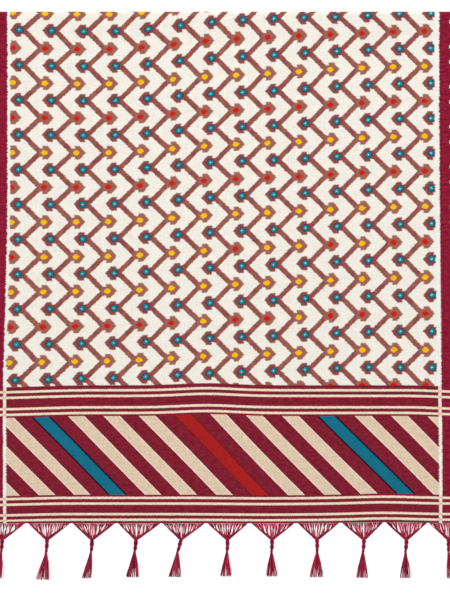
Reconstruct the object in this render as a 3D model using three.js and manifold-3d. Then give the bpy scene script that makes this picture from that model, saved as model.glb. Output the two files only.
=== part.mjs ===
// A cotton dupatta, folded in half across its length and laid flat on a surface.
//
// Millimetres, +Z up. +Y points to the fold, -Y to the fringe that shows, and the
// origin is the middle of the footprint, on the surface the cloth lies on.

import * as THREE from 'three';
import { mergeVertices } from 'three/addons/utils/BufferGeometryUtils.js';
import Module from 'manifold-3d';

const wasm = await Module();
wasm.setup();

// The woven length, as it lies.
const CLOTH = {
  foldY: 568.8, // outermost line of the fold
  hemY: -455, // where the weave ends and the fringe begins
  halfWidth: 490, // at the end band, where the cloth is widest
  wall: 2, // thickness of the layer that shows
  columns: 12, // divisions across the width
};

// How far the ikat field is drawn in at each selvedge, and where along the cloth.
const DRAWN_IN = {
  left: { depth: 11, from: -230, to: 200 },
  right: { depth: 6, from: -420, to: 480 },
};

// The fold is a soft, unpressed roll, a little higher than the flat layers.
const FOLD = {
  length: 10, // half axis of the roll along Y
  height: 7, // outer height of the roll
  rise: 55, // how far back from the roll the cloth begins to rise
  lip: 10, // how far the roll runs on underneath
  steps: 8, // facets round the roll
};

const ROLL_START = CLOTH.foldY - FOLD.length;

// The hidden half, with its own fringe tucked flat at its end.
const UNDER = {
  thickness: 2,
  endY: -430,
  fringe: 100, // the tucked fringe, thinner than the weave
  tip: 0.9, // thickness at the very end of that fringe
  inset: 3, // its selvedges lie this far inside the upper ones
  wander: 1.2, // how far they stray from that
  strayLeft: { length: 60, phase: 0 }, // the slow wave in which they stray
  strayRight: { length: 75, phase: 1 },
  bevel: 0.6, // rounding of its edges
  blunt: 0.5, // thickness of its end faces, as a share
};

const SEAM = 0.3; // gap between neighbouring pieces

// The hem lies on the surface, and the cloth climbs onto the hidden half.
const LANDING = { afterHem: 8, beforeUnder: 3 };

// Soft unevenness of cloth that was laid down by hand: two slow waves.
const RIPPLE = {
  height: 0.4,
  swing: 0.6, // share of the height that the waves add and take away
  hemCalm: 40, // flat this far from the hem
  hemFull: 160, // at its full height this far from the hem
  foldFull: 420, // at its full height up to this y
  foldCalm: 520, // flat again from this y on
  waves: [
    { across: 83, along: 210, share: 1, phase: 0 },
    { across: -260, along: 117, share: 0.7, phase: 1.3 },
  ],
};

// Rows of points along the flat cloth, from the hem and back from the roll.
const ROWS = {
  hem: { from: 0, to: 44, steps: 4 },
  tucked: { from: 70, to: 150, steps: 2 },
  field: { from: 215, steps: 11 },
  rise: { from: 38, steps: 3 },
};

// Warp ends gathered into tassels.
const FRINGE = {
  apexY: -490, // where a fan is gathered to a point
  neckY: -512, // where its twisted neck ends
  clear: 0.3, // the fringe stays this far above the surface
};

const FAN = {
  innerLocks: 5, // finer locks in each half of a fan
  firstGap: 0.6, // gap beside the middle, in locks' spacings
  lock: 0.95, // radius of those locks
  edgeLock: 1.25, // radius of the denser lock along each side
  gathered: 2.3, // radius of that lock where it meets the neck
  overlap: 1, // how far it runs past the knot's near side
  rise: 1.5, // power with which it rises to the knot
  middle: 0.6, // place of its middle ring
  join: 0.6, // how far back from the knot a middle lock would meet the side
  plumb: 0.25, // how soon a finer lock leaves the straight way down, 0 is latest
};

const NECK = {
  radius: 3.2, // greatest radius
  waist: 1.9, // least radius
  swell: [0.7, 0.92, 1, 1, 0.94, 0.82, 0.68], // its shares of radius down to the waist
  start: 3, // how far above the apex it begins
  twist: 1.3, // turns of the two plies
  plyDepth: 0.14, // depth of the furrow between them, as a share
  sway: 0.5,
  sides: 8,
};

const SKIRT = {
  locks: 8,
  lock: 1.25, // radius of a lock at its cut end
  lockStart: 0.8, // its radius at the neck, as a share
  flare: 0.2, // share of the skirt that is still one bundle
  bundle: [ // that bundle's radii, in waists
    { wide: 0.95, high: 0.9 },
    { wide: 1.7, high: 0.85 },
    { wide: 2.5, high: 0.7 },
  ],
  middle: 0.45, // place of a lock's middle ring
  lean: 1.2, // power with which the skirt drifts to its side
  spread: 1.7, // power with which its locks part
  settle: 0.55, // height of the cut ends, in locks' radii
  ragged: 1.8, // greatest difference in length
  straggle: 5, // how quickly that differs from lock to lock
};

// Tassels from left to right. left and right are the ends of the fan on the hem,
// apex, neck and skirt the middle of the knot, of the neck's end and of the cut
// ends, width is across the cut ends, and reach is how far they come.
const TASSELS = [
  { left: -490, right: -394, apex: -440, neck: -442, skirt: -452, width: 24, reach: -566 },
  { left: -388, right: -304, apex: -350, neck: -352, skirt: -358, width: 25, reach: -568.8 },
  { left: -299, right: -214, apex: -260, neck: -262, skirt: -271, width: 19, reach: -565.5 },
  { left: -208, right: -123, apex: -172, neck: -175, skirt: -179, width: 25, reach: -563.5 },
  { left: -119, right: -34, apex: -82, neck: -89, skirt: -94, width: 22, reach: -563 },
  { left: -29, right: 52, apex: 11, neck: 10, skirt: 8, width: 21, reach: -562 },
  { left: 59, right: 145, apex: 100, neck: 99, skirt: 100, width: 21, reach: -562 },
  { left: 152, right: 235, apex: 190, neck: 190, skirt: 189, width: 24, reach: -563.5 },
  { left: 240, right: 323, apex: 284, neck: 282, skirt: 281, width: 23, reach: -565 },
  { left: 327, right: 411, apex: 369, neck: 367, skirt: 367, width: 22, reach: -565 },
  { left: 414, right: 490, apex: 453, neck: 453, skirt: 462, width: 24, reach: -566 },
];

const COLOURS = {
  ground: 0xe9e4dc,
  maroon: 0x8a1f3a,
  fringe: 0x86182f,
};

// A smooth step from 0 at one value to 1 at another.
function ramp(value, from, to) {
  const t = Math.min(1, Math.max(0, (value - from) / (to - from)));
  return t * t * (3 - 2 * t);
}

function lerp(a, b, t) {
  return a + (b - a) * t;
}

// The selvedges: the heavy end band keeps its width, the ikat field is drawn in.
function leftEdge(y) {
  const { depth, from, to } = DRAWN_IN.left;
  return -CLOTH.halfWidth + depth * ramp(y, from, to);
}

function rightEdge(y) {
  const { depth, from, to } = DRAWN_IN.right;
  return CLOTH.halfWidth - depth * ramp(y, from, to);
}

function ripple(x, y) {
  const { height, swing, hemCalm, hemFull, foldFull, foldCalm, waves } = RIPPLE;
  const fromHem = ramp(y, CLOTH.hemY + hemCalm, CLOTH.hemY + hemFull);
  const wave = waves.reduce((sum, { across, along, share, phase }) => (
    sum + share * Math.sin(x / across + y / along + phase)
  ), 0);
  return height * fromHem * ramp(y, foldCalm, foldFull) * (1 + swing * wave);
}

// Height of the top of the hidden half.
function underTop(x, y) {
  const tucked = ramp(y, UNDER.endY, UNDER.endY + UNDER.fringe);
  return lerp(UNDER.tip, UNDER.thickness, tucked) + ripple(x, y);
}

// Height of the underside of the half that shows: it lies on the hidden half,
// comes down to the surface past its end, and lifts into the roll of the fold.
function frontUnderside(x, y) {
  const { afterHem, beforeUnder } = LANDING;
  const landed = ramp(y, CLOTH.hemY + afterHem, UNDER.endY - beforeUnder);
  const lift = FOLD.height - CLOTH.wall - UNDER.thickness - SEAM;
  const roll = lift * ramp(y, ROLL_START - FOLD.rise, ROLL_START);
  return landed * (underTop(x, y) + SEAM) + roll;
}

// A closed body through rings that all have the same number of points.
function loft(rings) {
  const size = rings[0].length;
  const positions = rings.flat().flatMap((point) => [point.x, point.y, point.z]);
  const faces = [];
  for (let r = 0; r + 1 < rings.length; r += 1) {
    for (let i = 0; i < size; i += 1) {
      const a = r * size + i;
      const b = r * size + ((i + 1) % size);
      faces.push([a, b, b + size], [a, b + size, a + size]);
    }
  }
  const last = (rings.length - 1) * size;
  for (let i = 0; i < Math.floor((size - 1) / 2); i += 1) {
    const ends = [i, i + 1, size - 2 - i, size - 1 - i];
    for (const [a, b, c] of [[0, 1, 3], [1, 2, 3]]) {
      if (ends[a] !== ends[b] && ends[b] !== ends[c]) {
        faces.push([ends[c], ends[b], ends[a]]);
        faces.push([last + ends[a], last + ends[b], last + ends[c]]);
      }
    }
  }
  const geometry = new THREE.BufferGeometry();
  geometry.setAttribute('position', new THREE.Float32BufferAttribute(positions, 3));
  geometry.setIndex(faces.flat());
  return faceOutwards(geometry);
}

// Turns a closed body's faces round if its volume comes out negative.
function faceOutwards(geometry) {
  const position = geometry.attributes.position;
  const index = geometry.index.array;
  const corner = (k) => new THREE.Vector3().fromBufferAttribute(position, index[k]);
  let volume = 0;
  for (let k = 0; k < index.length; k += 3) {
    volume += corner(k).dot(corner(k + 1).cross(corner(k + 2)));
  }
  if (volume < 0) {
    for (let k = 0; k < index.length; k += 3) {
      [index[k], index[k + 1]] = [index[k + 1], index[k]];
    }
  }
  return geometry;
}

function toSolid(geometry) {
  const merged = mergeVertices(geometry);
  const mesh = new wasm.Mesh({
    numProp: 3,
    vertProperties: merged.attributes.position.array,
    triVerts: new Uint32Array(merged.index.array),
  });
  return new wasm.Manifold(mesh);
}

// Joins overlapping bodies into one, and cuts off what lies past the given y.
function fuse(geometries, lastY) {
  const solid = geometries.map(toSolid).reduce((whole, piece) => whole.add(piece));
  const { vertProperties, triVerts } = solid.trimByPlane([0, -1, 0], -lastY).getMesh();
  const geometry = new THREE.BufferGeometry();
  geometry.setAttribute('position', new THREE.BufferAttribute(vertProperties, 3));
  geometry.setIndex(new THREE.BufferAttribute(triVerts, 1));
  return geometry;
}

function piece(name, geometry, color, roughness) {
  geometry.computeVertexNormals();
  const material = new THREE.MeshStandardMaterial({ color, roughness, metalness: 0 });
  const mesh = new THREE.Mesh(geometry, material);
  mesh.name = name;
  return mesh;
}

// Evenly spread values from one end to the other, both included.
function spread(from, to, steps) {
  return Array.from({ length: steps + 1 }, (_, i) => lerp(from, to, i / steps));
}

function columnsAt(y) {
  return spread(leftEdge(y), rightEdge(y), CLOTH.columns);
}

// One cross-section of the wall: the outer points from left to right, then the
// inner ones back. outer and inner give y and z at a given x.
function wallRing(edgeY, outer, inner) {
  const across = columnsAt(edgeY);
  const outside = across.map((x) => new THREE.Vector3(x, outer(x).y, outer(x).z));
  const inside = across.map((x) => new THREE.Vector3(x, inner(x).y, inner(x).z));
  return [...outside, ...inside.reverse()];
}

// The rows' places along the flat cloth. Both halves have them, and the columns, so
// that their facets stay parallel.
function flatRows() {
  const { hem, tucked, field, rise } = ROWS;
  const { hemY } = CLOTH;
  return [
    ...spread(hemY + hem.from, hemY + hem.to, hem.steps),
    ...spread(hemY + tucked.from, hemY + tucked.to, tucked.steps),
    ...spread(hemY + field.from, ROLL_START - FOLD.rise, field.steps),
    ...spread(ROLL_START - rise.from, ROLL_START, rise.steps),
  ];
}

// The half that shows: flat from the hem, over the roll of the fold and under it.
function frontGeometry() {
  const { foldY, wall } = CLOTH;
  const rings = flatRows().map((y) => wallRing(
    y,
    (x) => ({ y, z: frontUnderside(x, y) + wall }),
    (x) => ({ y, z: frontUnderside(x, y) }),
  ));
  const middle = FOLD.height / 2;
  const onRoll = (angle, inwards) => ({
    y: ROLL_START + (FOLD.length - inwards) * Math.cos(angle),
    z: middle + (middle - inwards) * Math.sin(angle),
  });
  for (let i = 1; i <= FOLD.steps; i += 1) {
    const angle = Math.PI / 2 - (Math.PI * i) / FOLD.steps;
    rings.push(wallRing(foldY, () => onRoll(angle, 0), () => onRoll(angle, wall)));
  }
  const lipY = ROLL_START - FOLD.lip;
  rings.push(wallRing(foldY, () => ({ y: lipY, z: 0 }), () => ({ y: lipY, z: wall })));
  return loft(rings);
}

// The hidden half: one rounded slab, flat underneath.
function underGeometry() {
  const { endY, inset, wander, strayLeft, strayRight, bevel, blunt } = UNDER;
  const backY = ROLL_START - FOLD.lip - SEAM;
  const stray = (y, { length, phase }) => wander * Math.sin(y / length + phase);
  const ring = (y, squash, shrink) => {
    const left = leftEdge(y) + inset + stray(y, strayLeft) + shrink;
    const right = rightEdge(y) - inset + stray(y, strayRight) - shrink;
    const inside = columnsAt(y).slice(1, -1).reverse();
    const top = [right - bevel, ...inside, left + bevel]
      .map((x) => new THREE.Vector3(x, y, squash * underTop(x, y)));
    return [
      ...top,
      new THREE.Vector3(left, y, squash * underTop(left, y) / 2),
      new THREE.Vector3(left + bevel, y, 0),
      new THREE.Vector3(right - bevel, y, 0),
      new THREE.Vector3(right, y, squash * underTop(right, y) / 2),
    ];
  };
  const between = flatRows().filter((y) => y > endY + 2 * bevel && y < backY - 2 * bevel);
  return loft([
    ring(endY, blunt, bevel),
    ring(endY + bevel, 1, 0),
    ...between.map((y) => ring(y, 1, 0)),
    ring(backY - bevel, 1, 0),
    ring(backY, blunt, bevel),
  ]);
}

// A ring of points across a path, square to it, with its first point upwards.
// radiiAt gives the ring's radii upwards and sideways.
function ringAcross(path, i, sides, radiiAt) {
  const ahead = path[Math.min(i + 1, path.length - 1)];
  const behind = path[Math.max(i - 1, 0)];
  const along = ahead.clone().sub(behind).normalize();
  const aside = along.clone().cross(new THREE.Vector3(0, 0, 1)).normalize();
  const above = aside.clone().cross(along);
  return Array.from({ length: sides }, (_, k) => {
    const angle = (2 * Math.PI * k) / sides;
    const [high, wide] = radiiAt(i, angle);
    return path[i].clone()
      .addScaledVector(above, high * Math.cos(angle))
      .addScaledVector(aside, wide * Math.sin(angle));
  });
}

function strandGeometry(path, sides, radiusFrom, radiusTo) {
  const steps = path.length - 1;
  const radiiAt = (i) => Array(2).fill(lerp(radiusFrom, radiusTo, i / steps));
  return loft(path.map((_, i) => ringAcross(path, i, sides, radiiAt)));
}

// A fan: a dense lock down each side to the knot, and finer locks that leave the
// hem nearly square to it and are drawn into the nearer side. All start a little
// past the hem, where they are cut off level with it.
function fanGeometries(tassel) {
  const { apexY, clear } = FRINGE;
  const { innerLocks, firstGap, lock, edgeLock, gathered, overlap } = FAN;
  const topY = CLOTH.hemY + edgeLock;
  const locks = [];
  for (const end of [tassel.left, tassel.right]) {
    const side = Math.sign(end - tassel.apex);
    const span = Math.abs(end - tassel.apex) - edgeLock;
    const onSide = (t) => new THREE.Vector3(
      tassel.apex + side * lerp(span, overlap, t),
      lerp(topY, apexY + overlap, t),
      lerp(clear + edgeLock, clear + NECK.radius, t ** FAN.rise),
    );
    locks.push(strandGeometry([0, FAN.middle, 1].map(onSide), 4, edgeLock, gathered));
    for (let k = 1; k <= innerLocks; k += 1) {
      const share = 1 - k / (innerLocks + firstGap);
      const root = new THREE.Vector3(tassel.apex + side * span * share, topY, clear + lock);
      const joint = onSide(1 - FAN.join * share);
      const bend = root.clone().lerp(joint, 0.5);
      bend.x = lerp(root.x, joint.x, FAN.plumb);
      const curve = new THREE.QuadraticBezierCurve3(root, bend, joint);
      locks.push(strandGeometry(curve.getPoints(2), 3, lock, lock));
    }
  }
  return locks;
}

// The neck: two plies twisted round each other, thickest in its upper half.
function neckGeometry(tassel) {
  const { apexY, neckY, clear } = FRINGE;
  const { radius, waist, swell, start, twist, plyDepth, sway, sides } = NECK;
  const shape = [...swell, waist / radius];
  const steps = shape.length - 1;
  const path = shape.map((_, i) => {
    const t = i / steps;
    return new THREE.Vector3(
      lerp(tassel.apex, tassel.neck, t) + sway * Math.sin(Math.PI * t),
      lerp(apexY + start, neckY, t),
      clear + lerp(radius, waist, t * t),
    );
  });
  const radiiAt = (i, angle) => {
    const plies = Math.cos(2 * angle - 2 * Math.PI * twist * (i / steps));
    return Array(2).fill(radius * shape[i] * (1 - plyDepth * (1 - plies)));
  };
  return loft(path.map((_, i) => ringAcross(path, i, sides, radiiAt)));
}

// The skirt: one bundle at first, then cut ends that spread side by side.
function skirtGeometries(tassel) {
  const { neckY, clear } = FRINGE;
  const { waist } = NECK;
  const { lock, flare, bundle } = SKIRT;
  const at = (t, offset, endY) => new THREE.Vector3(
    lerp(tassel.neck, tassel.skirt, t ** SKIRT.lean) + offset * (1 - (1 - t) ** SKIRT.spread),
    lerp(neckY, endY, t),
    clear + lerp(waist, lock * SKIRT.settle, t),
  );
  const path = spread(0, flare, bundle.length - 1).map((t) => at(t, 0, tassel.reach));
  const radiiAt = (i) => [bundle[i].high * waist, bundle[i].wide * waist];
  const locks = [loft(path.map((_, i) => ringAcross(path, i, NECK.sides, radiiAt)))];
  for (let k = 0; k < SKIRT.locks; k += 1) {
    const offset = (k / (SKIRT.locks - 1) - 0.5) * (tassel.width - 2 * lock);
    // The second lock is never cut short, so that each skirt comes as far as it should.
    const short = k === 1 ? 0 : Math.abs(Math.sin(SKIRT.straggle * k + tassel.apex));
    const endY = tassel.reach + SKIRT.ragged * short;
    const points = [flare / 2, SKIRT.middle, 1].map((t) => at(t, offset, endY));
    locks.push(strandGeometry(points, 3, lock * SKIRT.lockStart, lock));
  }
  return locks;
}

function tasselGeometry(tassel) {
  return fuse([
    neckGeometry(tassel),
    ...fanGeometries(tassel),
    ...skirtGeometries(tassel),
  ], CLOTH.hemY - SEAM);
}

const group = new THREE.Group();
group.add(piece('cloth_front', frontGeometry(), COLOURS.ground, 0.9));
group.add(piece('cloth_under', underGeometry(), COLOURS.maroon, 0.9));
TASSELS.forEach((tassel, i) => {
  const name = `tassel_${String(i + 1).padStart(2, '0')}`;
  group.add(piece(name, tasselGeometry(tassel), COLOURS.fringe, 0.75));
});

export default group;
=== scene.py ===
"""A handloom cotton dupatta, folded in half across its length and laid flat.

Metres, +Z up, +Y towards the fold, -Y towards the fringe. Sizes inside the classes are in
millimetres, as in the part's source, and are scaled once, when a mesh is made.
"""
import logging
import math
from dataclasses import dataclass, field
from enum import Enum

import bpy
import numpy as np
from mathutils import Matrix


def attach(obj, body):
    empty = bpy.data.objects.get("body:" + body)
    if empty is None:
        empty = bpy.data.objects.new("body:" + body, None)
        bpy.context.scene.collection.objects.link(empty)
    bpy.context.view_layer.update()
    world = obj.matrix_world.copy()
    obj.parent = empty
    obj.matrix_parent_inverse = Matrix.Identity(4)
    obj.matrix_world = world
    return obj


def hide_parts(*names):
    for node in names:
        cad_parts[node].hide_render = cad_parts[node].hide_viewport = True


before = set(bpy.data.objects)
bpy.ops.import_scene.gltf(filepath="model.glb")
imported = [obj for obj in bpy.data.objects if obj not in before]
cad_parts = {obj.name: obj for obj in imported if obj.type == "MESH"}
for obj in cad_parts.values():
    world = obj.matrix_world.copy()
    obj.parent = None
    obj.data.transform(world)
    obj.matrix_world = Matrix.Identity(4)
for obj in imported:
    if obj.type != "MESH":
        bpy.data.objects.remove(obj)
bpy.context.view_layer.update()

LOG = logging.getLogger("dupatta")
MM = 0.001
SEED = 11


def ramp(value: np.ndarray, start: float, end: float) -> np.ndarray:
    """A smooth step, 3t^2 - 2t^3, from 0 at start to 1 at end.

    Args:
        value: Where the step is read.
        start: Where it leaves 0.
        end: Where it reaches 1.

    Returns:
        The step at each value.
    """
    t = np.clip((value - start) / (end - start), 0.0, 1.0)
    return t * t * (3.0 - 2.0 * t)


def hump(value: np.ndarray, centre: float, width: float) -> np.ndarray:
    """A bell, exp(-((value - centre) / width)^2).

    Args:
        value: Where the bell is read.
        centre: Where it is 1.
        width: How far from the centre it falls to 0.37.

    Returns:
        The bell at each value.
    """
    return np.exp(-(((value - centre) / width) ** 2))


def srgb(red: int, green: int, blue: int) -> tuple[float, float, float, float]:
    """A screen colour as the linear colour that the materials take.

    Args:
        red: Red, 0 to 255.
        green: Green, 0 to 255.
        blue: Blue, 0 to 255.

    Returns:
        Linear red, green, blue and alpha.
    """
    def linear(level: int) -> float:
        """One channel, by the usual sRGB curve."""
        share = level / 255.0
        return share / 12.92 if share <= 0.04045 else ((share + 0.055) / 1.055) ** 2.4

    return (linear(red), linear(green), linear(blue), 1.0)


# ---- meshes


def new_mesh(name: str, points: np.ndarray, faces: list[np.ndarray]) -> bpy.types.Object:
    """Makes a smooth-shaded object from points in millimetres.

    Args:
        name: Name of the object and its mesh.
        points: (n, 3) points in millimetres.
        faces: Arrays of (m, corners) point numbers, one for each number of corners.

    Returns:
        The object, at the origin, linked to the scene.
    """
    mesh = bpy.data.meshes.new(name)
    counts = np.concatenate([np.full(len(part), part.shape[1], np.int32) for part in faces])
    corners = np.concatenate([part.ravel() for part in faces]).astype(np.int32)
    mesh.vertices.add(len(points))
    mesh.vertices.foreach_set("co", (points * MM).astype(np.float32).ravel())
    mesh.loops.add(len(corners))
    mesh.loops.foreach_set("vertex_index", corners)
    mesh.polygons.add(len(counts))
    starts = np.concatenate([[0], np.cumsum(counts)[:-1]]).astype(np.int32)
    mesh.polygons.foreach_set("loop_start", starts)
    mesh.update(calc_edges=True)
    mesh.validate()
    mesh.polygons.foreach_set("use_smooth", np.ones(len(mesh.polygons), bool))
    thing = bpy.data.objects.new(name, mesh)
    bpy.context.collection.objects.link(thing)
    return thing


def carry(thing: bpy.types.Object, name: str, values: np.ndarray) -> None:
    """Stores three numbers at each point of a mesh, for its material to read.

    Args:
        thing: The object.
        name: Name of the attribute.
        values: (n, 3) numbers.
    """
    layer = thing.data.attributes.new(name, "FLOAT_VECTOR", "POINT")
    layer.data.foreach_set("vector", values.astype(np.float32).ravel())


def grid_faces(number: np.ndarray) -> np.ndarray:
    """The four-cornered faces of a grid of point numbers.

    Args:
        number: (rows, columns) point numbers.

    Returns:
        (m, 4) faces, which run row by row.
    """
    corners = [number[:-1, :-1], number[:-1, 1:], number[1:, 1:], number[1:, :-1]]
    return np.stack([corner.ravel() for corner in corners], axis=1)


def closed_sheet(name: str, upper: np.ndarray, lower: np.ndarray,
                 carried: dict[str, np.ndarray]) -> bpy.types.Object:
    """Joins two grids into one closed body that shares the points of its rim.

    Args:
        name: Name of the object.
        upper: (rows, columns, 3) points of the outer face.
        lower: The same for the inner face; only its rim is dropped.
        carried: Attributes by name, each (rows, columns, 3), the same on both faces.

    Returns:
        The object.
    """
    rows, columns = upper.shape[:2]
    outer = np.arange(rows * columns).reshape(rows, columns)
    inner = outer.copy()
    within = np.arange((rows - 2) * (columns - 2)).reshape(rows - 2, -1)
    inner[1:-1, 1:-1] = rows * columns + within
    points = np.concatenate([upper.reshape(-1, 3), lower[1:-1, 1:-1].reshape(-1, 3)])
    thing = new_mesh(name, points, [grid_faces(outer), grid_faces(inner)[:, ::-1]])
    for label, values in carried.items():
        both = [values.reshape(-1, 3), values[1:-1, 1:-1].reshape(-1, 3)]
        carry(thing, label, np.concatenate(both))
    return thing


@dataclass
class Bundle:
    """Tubes that will become one mesh, each with a number that tells its thread."""

    points: list[np.ndarray] = field(default_factory=list)
    quads: list[np.ndarray] = field(default_factory=list)
    ends: dict[int, list[np.ndarray]] = field(default_factory=dict)
    yarn: list[np.ndarray] = field(default_factory=list)
    count: int = 0

    def add(self, paths: np.ndarray, radii: np.ndarray, tone_and_painted_light: np.ndarray) -> None:
        """Adds a closed tube round each path.

        A ring at a path's point is the point plus radius times (cos of the angle upwards and
        sin of the angle sideways), both square to the path.

        Args:
            paths: (tubes, steps, 3) points in millimetres.
            radii: (tubes, steps, sides) radii.
            tone_and_painted_light: (tubes,) numbers from 0 to 1, carried to the material: the
                yarn's random tone together with painted light and shade.
        """
        tubes, steps, sides = radii.shape
        along = np.gradient(paths, axis=1)
        along /= np.linalg.norm(along, axis=2, keepdims=True)
        aside = np.cross(along, [0.0, 0.0, 1.0])
        aside /= np.linalg.norm(aside, axis=2, keepdims=True)
        above = np.cross(aside, along)
        angle = np.linspace(0.0, 2.0 * np.pi, sides, endpoint=False)
        turn = np.stack([np.cos(angle), np.sin(angle)])
        out = above[:, :, None] * turn[0][:, None] + aside[:, :, None] * turn[1][:, None]
        ring = paths[:, :, None] + out * radii[..., None]
        number = self.count + np.arange(tubes * steps * sides).reshape(tubes, steps, sides)
        ahead = np.roll(number, -1, axis=2)
        corners = [number[:, :-1], ahead[:, :-1], ahead[:, 1:], number[:, 1:]]
        self.points.append(ring.reshape(-1, 3))
        self.quads.append(np.stack([corner.ravel() for corner in corners], axis=1))
        self.ends.setdefault(sides, []).extend([number[:, 0, ::-1], number[:, -1]])
        run = np.broadcast_to(np.linspace(0.0, 1.0, steps)[None, :, None], number.shape)
        tone_and_painted_light_at_points = np.broadcast_to(tone_and_painted_light[:, None, None], number.shape)
        turned = np.broadcast_to(angle[None, None, :], number.shape)
        self.yarn.append(np.stack([tone_and_painted_light_at_points, run, turned], axis=3).reshape(-1, 3))
        self.count += number.size

    def build(self, name: str) -> bpy.types.Object:
        """Makes the mesh, with the attribute yarn: tone with painted light and shade, run from 0
        to 1, and angle.

        Args:
            name: Name of the object.

        Returns:
            The object.
        """
        ends = [np.concatenate(part) for part in self.ends.values()]
        faces = [np.concatenate(self.quads), *ends]
        thing = new_mesh(name, np.concatenate(self.points), faces)
        carry(thing, "yarn", np.concatenate(self.yarn))
        return thing


# ---- shader maths


class Value:
    """A number socket of a material, with the arithmetic that makes Math nodes."""

    def __init__(self, nodes: "Nodes", socket: bpy.types.NodeSocket) -> None:
        """Wraps a socket of that material."""
        self.nodes = nodes
        self.socket = socket

    def math(self, operation: str, *others: "Value | float", clamp: bool = False) -> "Value":
        """One Math node on this value.

        Args:
            operation: Name of the node's operation.
            *others: Its other inputs.
            clamp: Whether the result is held between 0 and 1.

        Returns:
            The result.
        """
        sockets = {f"in{i}": each for i, each in enumerate((self, *others))}
        made = self.nodes.node("Math", {"operation": operation, "use_clamp": clamp}, **sockets)
        return Value(self.nodes, made.outputs[0])

    def __add__(self, other: "Value | float") -> "Value":
        """Sum."""
        return self.math("ADD", other)

    __radd__ = __add__

    def __sub__(self, other: "Value | float") -> "Value":
        """Difference."""
        return self.math("SUBTRACT", other)

    def __rsub__(self, other: float) -> "Value":
        """Difference from a number."""
        return self.math("MULTIPLY_ADD", -1.0, other)

    def __mul__(self, other: "Value | float") -> "Value":
        """Product."""
        return self.math("MULTIPLY", other)

    __rmul__ = __mul__

    def __abs__(self) -> "Value":
        """Size without sign."""
        return self.math("ABSOLUTE")

    def at_most(self, other: "Value | float") -> "Value":
        """The lower of the two."""
        return self.math("MINIMUM", other)

    def at_least(self, other: "Value | float") -> "Value":
        """The higher of the two."""
        return self.math("MAXIMUM", other)

    def inside(self, soft: float) -> "Value":
        """1 where this distance is below 0, and 0 above, over a soft edge that wide."""
        return self.math("MULTIPLY_ADD", -1.0 / soft, 0.5, clamp=True)

    def between(self, low: "Value | float", high: "Value | float", soft: float) -> "Value":
        """1 between the two bounds, over soft edges that wide."""
        return (low - self).at_least(self - high).inside(soft)

    def cell(self, centre: float, low: float) -> "Value":
        """This value from a repeat's centre, in repeats, from low to low + 1."""
        return (self - (centre + low)).math("FRACT") + low


class Nodes:
    """The nodes of one material."""

    def __init__(self, name: str) -> None:
        """Starts an empty material.

        Args:
            name: Its name.
        """
        self.material = bpy.data.materials.new(name)
        self.material.use_nodes = True
        self.tree = self.material.node_tree
        self.tree.nodes.clear()

    def node(self, kind: str, settings: dict[str, object] | None = None,
             **inputs: object) -> bpy.types.Node:
        """Adds a node.

        Args:
            kind: Its type, without the leading ShaderNode.
            settings: Its own properties, set before its sockets.
            **inputs: What goes in each socket: a Value, a Dye, a socket or a constant.
                Underscores stand for spaces, and in3 is the socket number 3.

        Returns:
            The node.
        """
        made = self.tree.nodes.new("ShaderNode" + kind)
        for key, setting in (settings or {}).items():
            setattr(made, key, setting)
        for key, given in inputs.items():
            numbered = key.startswith("in") and key[2:].isdigit()
            socket = made.inputs[int(key[2:]) if numbered else key.replace("_", " ")]
            if isinstance(given, Value):
                given = given.socket
            elif isinstance(given, Dye):
                given = given.value
            if isinstance(given, bpy.types.NodeSocket):
                self.tree.links.new(given, socket)
            else:
                socket.default_value = given
        return made

    def carried(self, name: str) -> tuple[Value, Value, Value]:
        """Three numbers that the mesh carries.

        Args:
            name: Name of the attribute.

        Returns:
            The three numbers.
        """
        made = self.node("Attribute", {"attribute_type": "GEOMETRY", "attribute_name": name})
        parts = self.node("SeparateXYZ", in0=made.outputs["Vector"])
        return tuple(Value(self, out) for out in parts.outputs)

    def noise(self, x: Value, y: Value, z: Value | float, detail: float = 2.0) -> Value:
        """Soft noise from about -0.5 to 0.5 at a place.

        Args:
            x: First coordinate, in blotches.
            y: Second coordinate.
            z: Third coordinate.
            detail: How many finer layers are added.

        Returns:
            The noise.
        """
        place = self.node("CombineXYZ", in0=x, in1=y, in2=z)
        made = self.node("TexNoise", {"noise_dimensions": "3D"},
                         Vector=place.outputs[0], Scale=1.0, Detail=detail)
        return Value(self, made.outputs["Fac"]) - 0.5

    def laid(self, colour: object, *layers: tuple[Value, object]) -> bpy.types.NodeSocket:
        """Lays colours over one another.

        Args:
            colour: The lowest one.
            *layers: Each one's share, from 0 to 1, and its colour, from below upwards.

        Returns:
            The colour that shows.
        """
        for share, over in layers:
            made = self.node("Mix", {"data_type": "RGBA"}, in0=share, in6=colour, in7=over)
            colour = made.outputs[2]
        return colour

    def lit(self, colour: bpy.types.NodeSocket, level: Value) -> bpy.types.NodeSocket:
        """A colour times a number."""
        made = self.node("VectorMath", {"operation": "SCALE"}, in0=colour, Scale=level)
        return made.outputs[0]

    def finish(self, colour: bpy.types.NodeSocket, height: Value, depth: float,
               roughness: float, sheen: float) -> bpy.types.Material:
        """Ends the material in a matt cloth shader.

        Args:
            colour: The base colour.
            height: The relief, from 0 to 1.
            depth: Depth of that relief, in metres.
            roughness: Roughness.
            sheen: Weight of the soft sheen.

        Returns:
            The material.
        """
        bump = self.node("Bump", Height=height, Strength=0.6, Distance=depth)
        shader = self.node("BsdfPrincipled", Base_Color=colour, Roughness=roughness,
                           Normal=bump.outputs[0], Sheen_Weight=sheen, IOR=1.4,
                           Specular_IOR_Level=0.15)
        self.node("OutputMaterial", Surface=shader.outputs[0])
        return self.material


# ---- finishes


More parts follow.
